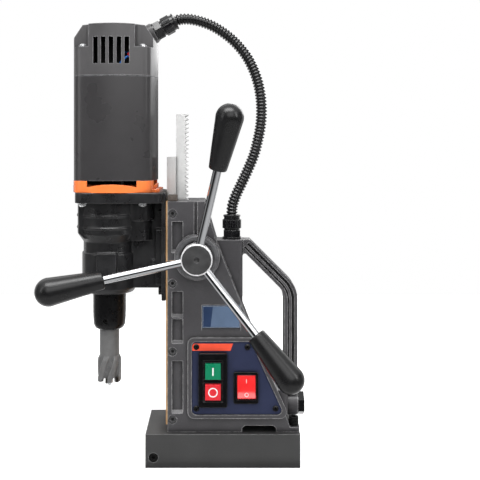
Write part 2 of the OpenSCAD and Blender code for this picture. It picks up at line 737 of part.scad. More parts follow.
module motor_cap() color("#464646") difference() {
    union() {
        cap_solid(0, cap_z + seam);
        translate([0, 0, cap_z]) linear_extrude(seam + e) motor_2d(seam);
        translate([gland_foot.x, 0, gland_foot.y]) rotate([0, 90 - gland_tilt, 0])
            translate([0, 0, -12]) cylinder(h = 12, r = 11.6);
    }
    difference() {
        cap_solid(3, cap_z - 1);
        for (sx = [0, 1], sy = [0, 1]) translate(M) mirror([sx, 0, 0]) mirror([0, sy, 0])
            box([21.5, 23.5, 400], [70, 70, 500]);
    }
    for (sx = [0, 1], sy = [0, 1]) translate(M) mirror([sx, 0, 0]) mirror([0, sy, 0])
        translate([0, 0, 449]) linear_extrude(60) {
            translate([24.5, 32]) square(60);
            translate([30, 26.5]) square(60);
            translate([30, 32]) circle(r = 5.5);
        }
    motor_corners() rod_z(400, 460, [0, 0], 2.5);
    for (i = [-2:2]) translate([motor_x - 0.4 + i * 8.3, 0, 0])
        box([-2.5, -70, 430.6], [2.5, 70, 459]);
    translate([gland_foot.x, 0, gland_foot.y]) rotate([0, 90 - gland_tilt, 0])
        translate([0, 0, -30]) cylinder(h = 40, r = 8);
}

module cap_screws() color("#c8cacc") motor_corners()
    translate([0, 0, 449]) difference() {
        union() {
            cylinder(h = 2, r = 4.2);
            translate([0, 0, 2 - e]) cylinder(h = 1.4, r1 = 4.2, r2 = 2.6);
            translate([0, 0, -48]) cylinder(h = 48 + e, r = 2.5);
        }
        translate([0, 0, 1.4]) cylinder(h = 4, r = 1.5, $fn = 6);
    }

module stator_core() color("#8a8c90") difference() {
    translate([0, 0, 330]) linear_extrude(46) intersection() {
        translate(M) circle(r = 44);
        motor_2d(3.5);
    }
    rod_z(320, 390, M, 27.5);
    for (s = [-1, 1]) translate(M) box([-18, s * 32 - 3, 320], [18, s * 32 + 3, 390]);
}

module field_coils() color("#b8602e") for (s = [-1, 1]) for (z = [322, 376])
    translate(M) difference() {
        box([-22, s * 32 - 5, z], [22, s * 32 + 5, z + 8]);
        box([-10, s * 32 - 1, z - 1], [10, s * 32 + 1, z + 9]);
    }

module brush_holders() color("#c8a24a") for (s = [-1, 1]) difference() {
    box([min(motor_x + s * 15, motor_x + s * 41), -6, 390],
        [max(motor_x + s * 15, motor_x + s * 41), 6, 403]);
    box([min(motor_x + s * 14, motor_x + s * 40), -4, 392],
        [max(motor_x + s * 14, motor_x + s * 40), 4, 401]);
}

module carbon_brushes() color("#2a2a2a") for (s = [-1, 1])
    box([min(motor_x + s * 13.4, motor_x + s * 32), -3.9, 392.1],
        [max(motor_x + s * 13.4, motor_x + s * 32), 3.9, 400.9]);

// Block in the cap where the leads of the motor and the conduit meet
module terminal_block() color("#1a1a1a") difference() {
    union() {
        box([motor_x - 22, -8, 421], [motor_x + 22, 8, 461]);
        for (s = [-1, 1]) translate([motor_x + s * 17.5, 0, 0])
            box([-4.5, -8, 411.9], [4.5, 8, 421 + e]);
    }
    for (s = [-1, 1], i = [-2:2]) translate([motor_x + i * 8.3, 0, 452])
        rod_y(min(s * 5, s * 9), max(s * 5, s * 9), 0, 0, 2.4);
}

module armature_bearings() color("#a8aaad") {
    bearing(294.5, 301.5, M, 11, shaft_r + slack);
    bearing(408.5, 416.5, M, 11, shaft_r + slack);
}

module armature() color("#9a9ca0") {
    rod_z(294, 417, M, shaft_r);
    difference() {
        rod_z(332, 374, M, 26.5);
        for (i = [0:11]) translate(M) rotate([0, 0, i * 30 + 15])
            box([22, -1.2, 330], [30, 1.2, 380]);
    }
    translate([M.x, M.y, 284.6]) linear_extrude(9.6)
        gear_2d(m1, t_motor, mesh_1 + 180 + 180 / t_motor);
}

module commutator() color("#c07840") difference() {
    rod_z(389, 405, M, 13);
    rod_z(380, 410, M, shaft_r);
    for (i = [0:23]) translate(M) rotate([0, 0, i * 15]) box([11.8, -0.35, 388], [14, 0.35, 406]);
}

module cooling_fan() color("#303030") difference() {
    union() {
        rod_z(309, 311, M, 38);
        rod_z(309, 320, M, 10);
        for (i = [0:13]) translate(M) rotate([0, 0, i * 360 / 14])
            box([16, -0.9, 301.6], [37.5, 0.9, 319]);
    }
    rod_z(300, 330, M, shaft_r);
}

// Gears --------------------------------------------------------------------------

mesh_1 = atan2(M.y - I.y, M.x - I.x);
mesh_2 = atan2(I.y - S.y, I.x - S.x);

module intermediate_wheel() color("#9a9ca0") difference() {
    translate([I.x, I.y, 285]) linear_extrude(7) gear_2d(m1, t_wheel, mesh_1);
    rod_z(280, 300, I, shaft_r);
}

module intermediate_pinion() color("#a4a6aa") {
    rod_z(245, 298.4, I, shaft_r);
    translate([I.x, I.y, 255]) linear_extrude(18)
        gear_2d(m2, t_pinion, mesh_2 + 180 + 180 / t_pinion);
}

module intermediate_bearings() color("#a8aaad") {
    bearing(244, 251, I, 8, shaft_r + slack);
    bearing(293.6, 299, I, 8, shaft_r + slack);
}

module spindle() color("#b0b2b5") difference() {
    union() {
        rod_z(183, 252, S, 14);
        rod_z(252, 275, S, 12);
        rod_z(275, 281, S, 8);
    }
    rod_z(180, 222, S, 9);
    rod_z(200, 246, S, 3.6);
}

module spindle_gear() color("#9a9ca0") difference() {
    translate([S.x, S.y, 256]) linear_extrude(16) gear_2d(m2, t_spindle, mesh_2);
    rod_z(250, 280, S, 12);
}

module spindle_bearings() color("#a8aaad") {
    bearing(186, 198, S, 22, 14 + slack);
    bearing(275, 281, S, 13, 8 + slack);
}

// Tool ----------------------------------------------------------------------------

// Places children on the radius of each arbor set screw
module on_arbor_screw() {
    for (a = [262, 172]) translate([S.x, S.y, 151]) rotate([0, 0, a]) rotate([0, 90, 0])
        children();
}

module arbor() color("#2a2a2a") difference() {
    translate([S.x, S.y, 0]) rotate_extrude() polygon([
        [0, 141], [13.8, 141], [15.6, 142.2], [17.2, 145.6], [17.8, 152], [18.1, 160],
        [18.1, 180.4], [16.6, 180.4], [16.6, 182], [13, 182], [13, 183], [9, 183],
        [9, 218], [0, 218]]);
    rod_z(130, 173, S, shank_r);
    rod_z(170, 230, S, pilot_r + 0.4);
    on_arbor_screw() cylinder(h = 20, r = 3);
}

module arbor_screws() color("#303030") on_arbor_screw() translate([0, 0, shank_r]) difference() {
    cylinder(h = 6.4, r = 3);
    translate([0, 0, 3.4]) cylinder(h = 4, r = 1.7, $fn = 6);
}

// Outline of the fluted part: six lands with a flute between each pair
function flute_points() = [for (i = [0:5]) each
    [for (p = [[cutter_r - 2.4, -22], [cutter_r, -12], [cutter_r, -2], [cutter_r, 8],
        [cutter_r, 17], [cutter_r - 2.6, 22], [cutter_r - 3, 30]])
        p.x * [cos(p.y + i * 60), sin(p.y + i * 60)]]];

module cutter() color("#7c7c7c") difference() {
    union() {
        rod_z(shoulder_z[1], 141, S, 10.9);
        rod_z(141 - e, 172, S, shank_r);
        translate([S.x, S.y, shoulder_z[0]])
            cylinder(h = shoulder_z[1] - shoulder_z[0] + e, r1 = cutter_r - 0.4, r2 = 10.9);
        translate([S.x, S.y, rim_z])
            linear_extrude(shoulder_z[0] - rim_z + e, twist = -41, slices = 6)
                polygon(flute_points());
    }
    rod_z(70, 106, S, 8.6);
    rod_z(70, 180, S, pilot_r + 0.07);
    for (i = [0:5]) translate(S) rotate([0, 0, i * 60 + 25]) box([4, -2.4, rim_z - 2], [20, 2.4, rim_z + 3]);
}

module pilot_pin() color("#c8cacc") {
    translate([S.x, S.y, 75.9]) cylinder(h = pilot_r, r1 = 0.6, r2 = pilot_r);
    rod_z(75.9 + pilot_r - e, 186, S, pilot_r);
}

module pilot_spring() color("#909294") {
    for (i = [0:7]) tube_z(188 + i * 3.6, 189.4 + i * 3.6, S, 3.4, 2);
}

magnet_base();
magnet_coil();
magnet_potting();
base_side_screws();
base_screws();
column_casting();
gib_strips();
gib_screws();
slide_wiper();
carry_handle();
control_panel();
panel_screws();
name_plate();
motor_switch_housing();
on_button();
off_button();
rocker_housing();
magnet_rocker();
control_board();
column_gland();
conduit();
motor_gland();
mains_gland();
feed_bushes();
feed_pinion_shaft();
feed_hub();
hub_cap();
spokes();
knobs();
shaft_retainer();
gearbox_housing();
gear_plate();
slide_bar();
rack();
slide_screws();
gearbox_screws();
fan_ring();
motor_housing();
motor_cap();
cap_screws();
stator_core();
field_coils();
brush_holders();
carbon_brushes();
terminal_block();
armature_bearings();
armature();
commutator();
cooling_fan();
intermediate_wheel();
intermediate_pinion();
intermediate_bearings();
spindle();
spindle_gear();
spindle_bearings();
arbor();
arbor_screws();
cutter();
pilot_pin();
pilot_spring();
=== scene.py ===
"""Looks of the magnetic drill press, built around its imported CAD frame."""

import json
import math

import bmesh
import bpy
from mathutils import Matrix, Vector


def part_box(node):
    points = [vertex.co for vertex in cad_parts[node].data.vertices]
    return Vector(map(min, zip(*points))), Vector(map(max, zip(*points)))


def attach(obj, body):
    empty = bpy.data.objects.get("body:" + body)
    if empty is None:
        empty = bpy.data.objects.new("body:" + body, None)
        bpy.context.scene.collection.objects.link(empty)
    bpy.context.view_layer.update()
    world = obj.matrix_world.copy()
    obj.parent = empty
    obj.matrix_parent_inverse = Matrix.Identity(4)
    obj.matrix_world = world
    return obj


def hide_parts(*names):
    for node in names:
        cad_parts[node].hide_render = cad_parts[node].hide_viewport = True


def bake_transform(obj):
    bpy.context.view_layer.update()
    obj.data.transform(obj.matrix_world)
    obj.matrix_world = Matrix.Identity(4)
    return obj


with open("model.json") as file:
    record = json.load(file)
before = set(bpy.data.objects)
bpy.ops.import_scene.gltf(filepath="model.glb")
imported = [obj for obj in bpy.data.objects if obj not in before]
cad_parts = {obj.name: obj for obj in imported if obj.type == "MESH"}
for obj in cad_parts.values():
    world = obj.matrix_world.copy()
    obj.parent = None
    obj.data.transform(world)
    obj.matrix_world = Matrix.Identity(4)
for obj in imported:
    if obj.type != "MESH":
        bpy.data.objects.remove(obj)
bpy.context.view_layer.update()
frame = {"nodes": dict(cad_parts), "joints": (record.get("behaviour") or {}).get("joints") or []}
NODES = frame["nodes"]
MM = 0.001
scene = bpy.context.scene


# Camera ------------------------------------------------------------------

def make_camera():
    data = bpy.data.cameras.new("camera")
    data.sensor_width = 36
    data.lens = 59.16
    data.shift_x = 0.0508
    data.shift_y = -0.189
    data.clip_start = 0.01
    camera = bpy.data.objects.new("camera", data)
    camera.location = (-0.0077, -0.880, 0.3395)
    camera.rotation_euler = (math.radians(90), 0, 0)
    scene.collection.objects.link(camera)
    scene.camera = camera


make_camera()


# Mesh helpers --------------------------------------------------------------

def box_of(node):
    low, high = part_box(node)
    return Vector(low), Vector(high)


def new_object(name, points, faces, smooth=True):
    mesh = bpy.data.meshes.new(name)
    mesh.from_pydata([tuple(p) for p in points], [], faces)
    build = bmesh.new()
    build.from_mesh(mesh)
    bmesh.ops.recalc_face_normals(build, faces=build.faces)
    build.to_mesh(mesh)
    build.free()
    for face in mesh.polygons:
        face.use_smooth = smooth
    obj = bpy.data.objects.new(name, mesh)
    scene.collection.objects.link(obj)
    return obj


def lathe_data(profile, place, steps=72):
    """Points and faces of a profile of (radius, height) turned about the local Z axis."""
    points, faces = [], []
    rings = []
    for radius, height in profile:
        if radius < 1e-9:
            rings.append([len(points)])
            points.append(place @ Vector((0, 0, height)))
            continue
        rings.append(list(range(len(points), len(points) + steps)))
        for k in range(steps):
            angle = 2 * math.pi * k / steps
            x, y = radius * math.cos(angle), radius * math.sin(angle)
            points.append(place @ Vector((x, y, height)))
    for a, b in zip(rings, rings[1:]):
        for k in range(steps):
            j = (k + 1) % steps
            if len(a) == 1 and len(b) > 1:
                faces.append((a[0], b[k], b[j]))
            elif len(b) == 1 and len(a) > 1:
                faces.append((a[k], a[j], b[0]))
            elif len(a) > 1:
                faces.append((a[k], a[j], b[j], b[k]))
    return points, faces


def prism_data(outline, low, high, place):
    """Points and faces of an outline of (x, y) points from height low to high."""
    n = len(outline)
    points = [place @ Vector((x, y, z)) for z in (low, high) for x, y in outline]
    faces = [tuple(range(n)), tuple(range(2 * n - 1, n - 1, -1))]
    faces += [(k, (k + 1) % n, n + (k + 1) % n, n + k) for k in range(n)]
    return points, faces


def joined(name, parts, smooth=True):
    """One object from several (points, faces) pairs."""
    points, faces = [], []
    for part_points, part_faces in parts:
        start = len(points)
        points += part_points
        faces += [tuple(i + start for i in face) for face in part_faces]
    return new_object(name, points, faces, smooth)


def side_place(x, y, z):
    """Local x, y, z become the frame's X, Z and -Y, with the origin at x, y, z."""
    return Matrix.Translation((x, y, z)) @ Matrix.Rotation(math.radians(90), 4, "X")


def mm_points(points):
    return [(x * MM, y * MM) for x, y in points]


def soft_rect(x0, y0, x1, y1, r, n=6):
    points = []
    for cx, cy, start in ((x1 - r, y1 - r, 0), (x0 + r, y1 - r, 90),
                          (x0 + r, y0 + r, 180), (x1 - r, y0 + r, 270)):
        for k in range(n + 1):
            a = math.radians(start + 90 * k / n)
            points.append((cx + r * math.cos(a), cy + r * math.sin(a)))
    return points


def add_bevel(obj, width, segments=2, angle=30, clamp=True):
    bevel = obj.modifiers.new("bevel", "BEVEL")
    bevel.width = width * MM
    bevel.segments = segments
    bevel.limit_method = "ANGLE"
    bevel.angle_limit = math.radians(angle)
    bevel.use_clamp_overlap = clamp
    normal = obj.modifiers.new("normals", "WEIGHTED_NORMAL")
    normal.keep_sharp = True


def piece(obj, body, material, slot, *stands_for, bevel=None):
    """Gives a new object its material and body, and the CAD nodes it stands for; the slot is not
    used.
    """
    obj.data.materials.append(material)
    if bevel:
        add_bevel(obj, *bevel)
    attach(obj, body)
    if stands_for:
        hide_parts(*stands_for)
    return obj


def dress(name, material, bevel=0.4, segments=2, angle=30, clamp=True):
    """Gives a CAD node a material and softened edges."""
    obj = NODES[name]
    obj.data.materials.clear()
    obj.data.materials.append(material)
    for face in obj.data.polygons:
        face.use_smooth = True
        face.material_index = 0
    weld = obj.modifiers.new("weld", "WELD")
    weld.merge_threshold = 1e-5
    flat = obj.modifiers.new("flat", "DECIMATE")
    flat.decimate_type = "DISSOLVE"
    flat.angle_limit = math.radians(0.6)
    if bevel:
        add_bevel(obj, bevel, segments, angle, clamp)
    else:
        obj.modifiers.new("normals", "WEIGHTED_NORMAL").keep_sharp = True
    return obj


def cast(name, material, voxel=0.8, smooth=6, keep=0.35):
    """Gives a CAD node a material and the rounded, blended edges of a casting."""
    obj = NODES[name]
    obj.data.materials.clear()
    obj.data.materials.append(material)
    for face in obj.data.polygons:
        face.use_smooth = True
        face.material_index = 0
    remesh = obj.modifiers.new("remesh", "REMESH")
    remesh.mode = "VOXEL"
    remesh.voxel_size = voxel * MM
    remesh.use_smooth_shade = True
    soften = obj.modifiers.new("soften", "SMOOTH")
    soften.factor = 0.5
    soften.iterations = smooth
    fewer = obj.modifiers.new("fewer", "DECIMATE")
    fewer.ratio = keep
    return obj


# Materials -----------------------------------------------------------------

# Width in millimetres of the paler paint along an edge, partly wear and partly a painted highlight
EDGE_WIDTH = 1.2


def material(name, color, rough, metal=0.0, vary=0.1, vary_size=12, rough_vary=0.06,
             grain=0.0, grain_size=0.6, stretch=(1, 1, 1), coat=0.0, edge=None, spec=0.5,
             spots=0.0, painted_crevice_shade=0.0, crevice_shade_size=5.0):
    """A procedural material. Sizes are in millimetres and grain is the bump's height."""
    mat = bpy.data.materials.new(name)
    mat.use_nodes = True
    nodes, links = mat.node_tree.nodes, mat.node_tree.links
    shader = nodes["Principled BSDF"]
    shader.inputs["Metallic"].default_value = metal
    shader.inputs["Specular IOR Level"].default_value = spec
    shader.inputs["Coat Weight"].default_value = coat
    shader.inputs["Coat Roughness"].default_value = 0.08
    where = nodes.new("ShaderNodeTexCoord").outputs["Object"]
    mapping = nodes.new("ShaderNodeMapping")
    mapping.inputs["Scale"].default_value = stretch
    links.new(where, mapping.inputs["Vector"])

    def noise(size, detail, vector):
        node = nodes.new("ShaderNodeTexNoise")
        node.inputs["Scale"].default_value = 1000 / size
        node.inputs["Detail"].default_value = detail
        node.inputs["Roughness"].default_value = 0.6
        links.new(vector, node.inputs["Vector"])
        return node.outputs["Fac"]

    def remap(value, low, high, to_low, to_high):
        node = nodes.new("ShaderNodeMapRange")
        node.inputs["From Min"].default_value = low
        node.inputs["From Max"].default_value = high
        node.inputs["To Min"].default_value = to_low
        node.inputs["To Max"].default_value = to_high
        links.new(value, node.inputs["Value"])
        return node.outputs["Result"]

    def mix(factor, a, b):
        node = nodes.new("ShaderNodeMix")
        node.data_type = "RGBA"
        links.new(factor, node.inputs["Factor"])
        for socket, value in ((node.inputs[6], a), (node.inputs[7], b)):
            if isinstance(value, tuple):
                socket.default_value = (*value, 1)
            else:
                links.new(value, socket)
        return node.outputs[2]

    broad = noise(vary_size, 3, where)
    fine = noise(grain_size, 3, mapping.outputs["Vector"])
    dark = tuple(max(0.0, c * (1 - vary)) for c in color)
    light = tuple(min(1.0, c * (1 + vary)) for c in color)
    paint = mix(remap(broad, 0.3, 0.7, 0, 1), dark, light)
    if spots:
        tiny = noise(grain_size * 1.7, 2, where)
        pale = tuple(min(1, c * 2.2 + 0.02) for c in color)
        paint = mix(remap(tiny, 0.56, 0.72, 0, spots), paint, pale)
    # Painted shade: ambient occlusion darkens the colour towards a shade colour in creases, recesses
    # and where parts meet
    if painted_crevice_shade:
        hollow = nodes.new("ShaderNodeAmbientOcclusion")
        hollow.samples = 6
        hollow.inputs["Distance"].default_value = crevice_shade_size * MM
        paint = mix(remap(hollow.outputs["AO"], 0.35, 0.95, painted_crevice_shade, 0), paint,
                    tuple(c * 0.12 for c in color))
    # Paler colour along edges, found from a bevel normal and broken up by noise: partly wear, partly
    # a painted highlight of light caught on the edges
    if edge:
        rounded = nodes.new("ShaderNodeBevel")
        rounded.samples = 6
        rounded.inputs["Radius"].default_value = EDGE_WIDTH * MM
        turn = nodes.new("ShaderNodeVectorMath")
        turn.operation = "DOT_PRODUCT"
        links.new(rounded.outputs["Normal"], turn.inputs[0])
        links.new(nodes.new("ShaderNodeNewGeometry").outputs["Normal"], turn.inputs[1])
        wear_and_highlight = nodes.new("ShaderNodeMath")
        wear_and_highlight.operation = "MULTIPLY"
        links.new(remap(turn.outputs["Value"], 0.995, 0.93, 0, 1), wear_and_highlight.inputs[0])
        links.new(remap(noise(5, 4, where), 0.35, 0.62, 0.25, 1), wear_and_highlight.inputs[1])
        paint = mix(wear_and_highlight.outputs[0], paint, edge)
    links.new(paint, shader.inputs["Base Color"])
    links.new(remap(fine if stretch != (1, 1, 1) else broad, 0.25, 0.75,
                    max(0.02, rough - rough_vary), min(1.0, rough + rough_vary)),
              shader.inputs["Roughness"])
    if grain:
        bump = nodes.new("ShaderNodeBump")
        bump.inputs["Strength"].default_value = 1.0
        bump.inputs["Distance"].default_value = grain * MM
        links.new(fine, bump.inputs["Height"])
        links.new(bump.outputs["Normal"], shader.inputs["Normal"])
    return mat


# Each material's occlusion darkening is painted shade in creases and recesses; its edge colour is
# partly wear, partly a painted highlight
CAST_GREY = material("cast_grey_paint", (0.060, 0.058, 0.062), 0.36, vary=0.1, vary_size=35,
                     grain=0.05, grain_size=1.1, spots=0.12, spec=0.5, edge=(0.38, 0.375, 0.38),
                     painted_crevice_shade=0.9)
CAST_BLACK = material("cast_black_paint", (0.015, 0.015, 0.016), 0.30, vary=0.25, vary_size=14,
                      grain=0.09, grain_size=1.4, edge=(0.075, 0.075, 0.078), spots=0.08,
                      spec=0.55, painted_crevice_shade=0.8)
BASE_STEEL = material("base_paint", (0.047, 0.047, 0.047), 0.42, vary=0.08, vary_size=45,
                      grain=0.03, grain_size=0.8, spots=0.06, spec=0.4,
                      edge=(0.22, 0.22, 0.22), painted_crevice_shade=0.9, crevice_shade_size=14)
MOTOR_GREY = material("motor_plastic", (0.040, 0.0385, 0.040), 0.29, vary=0.09, vary_size=40,
                      grain=0.02, grain_size=0.7, rough_vary=0.04, spec=0.45, spots=0.05,
                      edge=(0.16, 0.16, 0.165), painted_crevice_shade=0.7)
MOTOR_CAP = material("motor_cap_plastic", (0.072, 0.070, 0.072), 0.33, vary=0.09, vary_size=40,
                     grain=0.018, grain_size=0.7, rough_vary=0.04, spec=0.45, spots=0.05,
                     edge=(0.30, 0.30, 0.31), painted_crevice_shade=0.8)
ORANGE = material("fan_ring_plastic", (1.0, 0.225, 0.055), 0.26, vary=0.05, vary_size=30,
                  grain=0.006, grain_size=0.8, rough_vary=0.04, coat=0.3, painted_crevice_shade=0.5)
NAVY = material("panel_navy", (0.022, 0.029, 0.072), 0.4, vary=0.1, vary_size=25,
                grain=0.012, grain_size=0.5, spec=0.3, painted_crevice_shade=0.7, crevice_shade_size=3)
STRIPE = material("panel_stripe", (0.90, 0.085, 0.035), 0.4, vary=0.04, grain=0.008,
                  grain_size=0.5, spec=0.3)
PLATE_BLUE = material("name_plate_blue", (0.095, 0.145, 0.235), 0.34, vary=0.1, vary_size=18,
                      grain=0.008, grain_size=0.6)
PLATE_DARK = material("name_plate_dark", (0.014, 0.035, 0.095), 0.34, vary=0.1,
                      grain=0.008, grain_size=0.6)
GLOSS_BLACK = material("switch_black", (0.0045, 0.0045, 0.005), 0.16, vary=0.2, grain=0.004,
                       grain_size=1.5, spec=0.4, edge=(0.05, 0.05, 0.052))
NYLON = material("gland_nylon", (0.005, 0.005, 0.006), 0.2, vary=0.2, grain=0.012,
                 grain_size=1.2, rough_vary=0.06, spec=0.6, edge=(0.05, 0.05, 0.05))
CONDUIT = material("conduit_nylon", (0.003, 0.003, 0.0035), 0.13, vary=0.2, grain=0.004,
                   grain_size=1.0, rough_vary=0.04, spec=0.8)
GREEN = material("button_green", (0.001, 0.20, 0.092), 0.3, vary=0.06, grain=0.006,
                 grain_size=0.5, spec=0.25)
RED = material("button_red", (0.66, 0.020, 0.030), 0.3, vary=0.06, grain=0.006,
               grain_size=0.5, spec=0.25)
ROCKER_RED = material("rocker_red", (0.88, 0.028, 0.030), 0.12, vary=0.06, grain=0.003,
                      grain_size=0.8, coat=1.0, spec=1.0)
WHITE = material("symbol_white", (0.8, 0.8, 0.8), 0.4, vary=0.03)
PINK = material("symbol_rocker", (0.95, 0.50, 0.50), 0.35, vary=0.03)
LEAD_RED = material("lead_red", (0.7, 0.01, 0.02), 0.35, vary=0.05)
LEAD_BLUE = material("lead_blue", (0.02, 0.16, 0.6), 0.35, vary=0.05)
CHROME = material("chrome", (0.70, 0.71, 0.73), 0.09, 1.0, vary=0.03, grain=0.002,
                  grain_size=3, rough_vary=0.02)
RIM = material("hub_rim", (0.82, 0.82, 0.83), 0.24, 0.35, vary=0.06, vary_size=5, grain=0.004,
               grain_size=0.8)
ZINC = material("zinc", (0.80, 0.81, 0.82), 0.22, 0.8, vary=0.08, grain=0.004, grain_size=1)
GROUND = material("ground_steel", (0.62, 0.62, 0.615), 0.32, 0.0, vary=0.06, vary_size=15,
                  rough_vary=0.09, grain=0.006, grain_size=0.5, stretch=(1, 1, 0.05),
                  painted_crevice_shade=0.9, crevice_shade_size=3)
TOOTHED = material("rack_steel", (0.60, 0.60, 0.595), 0.34, 0.0, vary=0.06, vary_size=6,
                   rough_vary=0.08, grain=0.006, grain_size=0.6, stretch=(1, 0.1, 1),
                   painted_crevice_shade=0.95, crevice_shade_size=4)
MACHINED = material("machined_face", (0.13, 0.13, 0.135), 0.34, 0.35, vary=0.3, vary_size=7,
                    rough_vary=0.12, grain=0.015, grain_size=0.9, stretch=(0.25, 1, 1),
                    edge=(0.45, 0.45, 0.45))
INNER_STEEL = material("inner_steel", (0.10, 0.10, 0.105), 0.42, 0.8, vary=0.1, vary_size=6,
                       rough_vary=0.1, grain=0.01, grain_size=0.5, stretch=(1, 1, 0.2))
BEARING_DARK = material("bearing_shield", (0.012, 0.012, 0.012), 0.5, vary=0.2, grain=0.01)
BRASS = material("gib_brass", (0.86, 0.52, 0.26), 0.36, 0.7, vary=0.14, vary_size=10,
                 rough_vary=0.1, grain=0.008, grain_size=0.8, stretch=(1, 1, 0.1))
FELT = material("felt", (0.095, 0.080, 0.070), 0.95, vary=0.3, vary_size=2, grain=0.2,
                grain_size=0.5, spec=0.2)
KNOB = material("knob_phenolic", (0.0085, 0.0085, 0.009), 0.3, vary=0.15, vary_size=20,
                grain=0.02, grain_size=0.9, rough_vary=0.06, spec=0.45, spots=0.05)
SCREW_GREY = material("screw_grey", (0.060, 0.059, 0.062), 0.34, 0.1, vary=0.2, vary_size=3,
                      grain=0.01, grain_size=0.6, edge=(0.2, 0.2, 0.2), painted_crevice_shade=0.9, crevice_shade_size=3)
HUB_DARK = material("hub_cap_turned", (0.060, 0.060, 0.061), 0.34, 0.3, vary=0.25,
                    vary_size=12, grain=0.006, grain_size=0.6)
BLACK_OXIDE = material("black_oxide", (0.0045, 0.0045, 0.005), 0.3, 0.1, vary=0.25, vary_size=5,
                       grain=0.03, grain_size=0.9, spec=0.4, edge=(0.03, 0.03, 0.03))
SCREW_BLACK = material("screw_black", (0.010, 0.010, 0.010), 0.28, 0.3, vary=0.25, vary_size=3,
                       grain=0.01, grain_size=0.6, spec=0.35)
CUTTER = material("cutter_steel", (0.145, 0.145, 0.145), 0.36, 0.15, vary=0.12, vary_size=6,
                  grain=0.02, grain_size=0.7, edge=(0.28, 0.28, 0.28), painted_crevice_shade=0.9, crevice_shade_size=4)
CARBIDE = material("carbide", (0.10, 0.09, 0.08), 0.3, 0.9, vary=0.1, grain=0.01, grain_size=0.4)
COPPER = material("copper_wire", (0.60, 0.20, 0.08), 0.35, 0.9, vary=0.2, vary_size=2,
                  grain=0.1, grain_size=0.7)
RESIN = material("potting_resin", (0.012, 0.016, 0.022), 0.4, vary=0.2, vary_size=20,
                 grain=0.03, grain_size=4)
BOARD = material("board_green", (0.01, 0.09, 0.035), 0.5, vary=0.2, vary_size=4, grain=0.02)
CARBON = material("carbon", (0.008, 0.008, 0.008), 0.6, vary=0.2, grain=0.03, spec=0.2)
BLOCK = material("terminal_black", (0.006, 0.006, 0.006), 0.5, vary=0.2, grain=0.02, spec=0.2)

ALL = {
    "magnet_base": (BASE_STEEL, 0.9), "magnet_coil": (COPPER, 0), "magnet_potting": (RESIN, 0),
    "base_side_screws": (SCREW_BLACK, 0.3), "base_screws": (SCREW_BLACK, 0.4),
    "column_casting": (CAST_GREY, 0.8), "gib_strips": (BRASS, 0.2),
    "gib_screws": (SCREW_GREY, 0.3), "slide_wiper": (FELT, 0.8), "carry_handle": (CAST_GREY, 1.4),
    "control_panel": (NAVY, 0.3), "panel_screws": (SCREW_BLACK, 0.2),
    "name_plate": (PLATE_BLUE, 0.2), "motor_switch_housing": (GLOSS_BLACK, 0.7),
    "on_button": (GREEN, 0.5), "off_button": (RED, 0.5), "rocker_housing": (GLOSS_BLACK, 0.6),
    "magnet_rocker": (ROCKER_RED, 0.5), "control_board": (BOARD, 0.2),
    "column_gland": (NYLON, 0.3), "motor_gland": (NYLON, 0.3), "mains_gland": (NYLON, 0.5),
    "feed_bushes": (BRASS, 0.3), "feed_pinion_shaft": (GROUND, 0.2), "feed_hub": (RIM, 0.4),
    "shaft_retainer": (ZINC, 0.3), "gearbox_housing": (CAST_BLACK, 0.8),
    "gear_plate": (INNER_STEEL, 0.2),
    "slide_bar": (GROUND, 0.4), "rack": (TOOTHED, 0.15), "slide_screws": (SCREW_BLACK, 0.3),
    "gearbox_screws": (ZINC, 0.3), "fan_ring": (ORANGE, 0.5), "motor_housing": (MOTOR_GREY, 0.35),
    "motor_cap": (MOTOR_CAP, 0.8), "cap_screws": (ZINC, 0.3), "stator_core": (INNER_STEEL, 0),
    "field_coils": (COPPER, 1.0), "brush_holders": (BRASS, 0.2), "carbon_brushes": (CARBON, 0.2),
    "armature_bearings": (BEARING_DARK, 0), "armature": (INNER_STEEL, 0), "commutator": (COPPER, 0),
    "cooling_fan": (CARBON, 0.2), "intermediate_wheel": (INNER_STEEL, 0),
    "intermediate_pinion": (INNER_STEEL, 0), "intermediate_bearings": (INNER_STEEL, 0),
    "spindle": (GROUND, 0.3), "spindle_gear": (INNER_STEEL, 0), "spindle_bearings": (GROUND, 0.2),
    "arbor": (BLACK_OXIDE, 0.4), "arbor_screws": (SCREW_BLACK, 0.2), "pilot_pin": (ZINC, 0.1),
    "pilot_spring": (GROUND, 0), "terminal_block": (BLOCK, 0.4),
}
CAST = {"gearbox_housing": (0.7, 4)}
for node_name, (node_material, node_bevel) in ALL.items():
    if node_name in CAST:
        cast(node_name, node_material, *CAST[node_name])
    else:
        dress(node_name, node_material, node_bevel)


# Conduit -------------------------------------------------------------------

# The same points as the CAD tube's, as (x, z) in millimetres
ROUTE = [
    (-52.5, 482.5), (-46, 484.5), (-36, 484.5), (-24, 482), (-11, 477), (2, 469), (14, 459),
    (25, 446), (33, 432), (39, 416), (42.5, 399), (43.5, 382), (42.5, 366), (39.5, 350),
    (35, 333), (28, 316), (21, 301), (14.5, 287), (11, 276), (10.4, 266.5),
]
# The motor gland's rise in degrees, its length, and the column gland's foot, in millimetres
GLAND_TILT = 29
MOTOR_GLAND_LENGTH = 26.7
COLUMN_GLAND_FOOT = 240


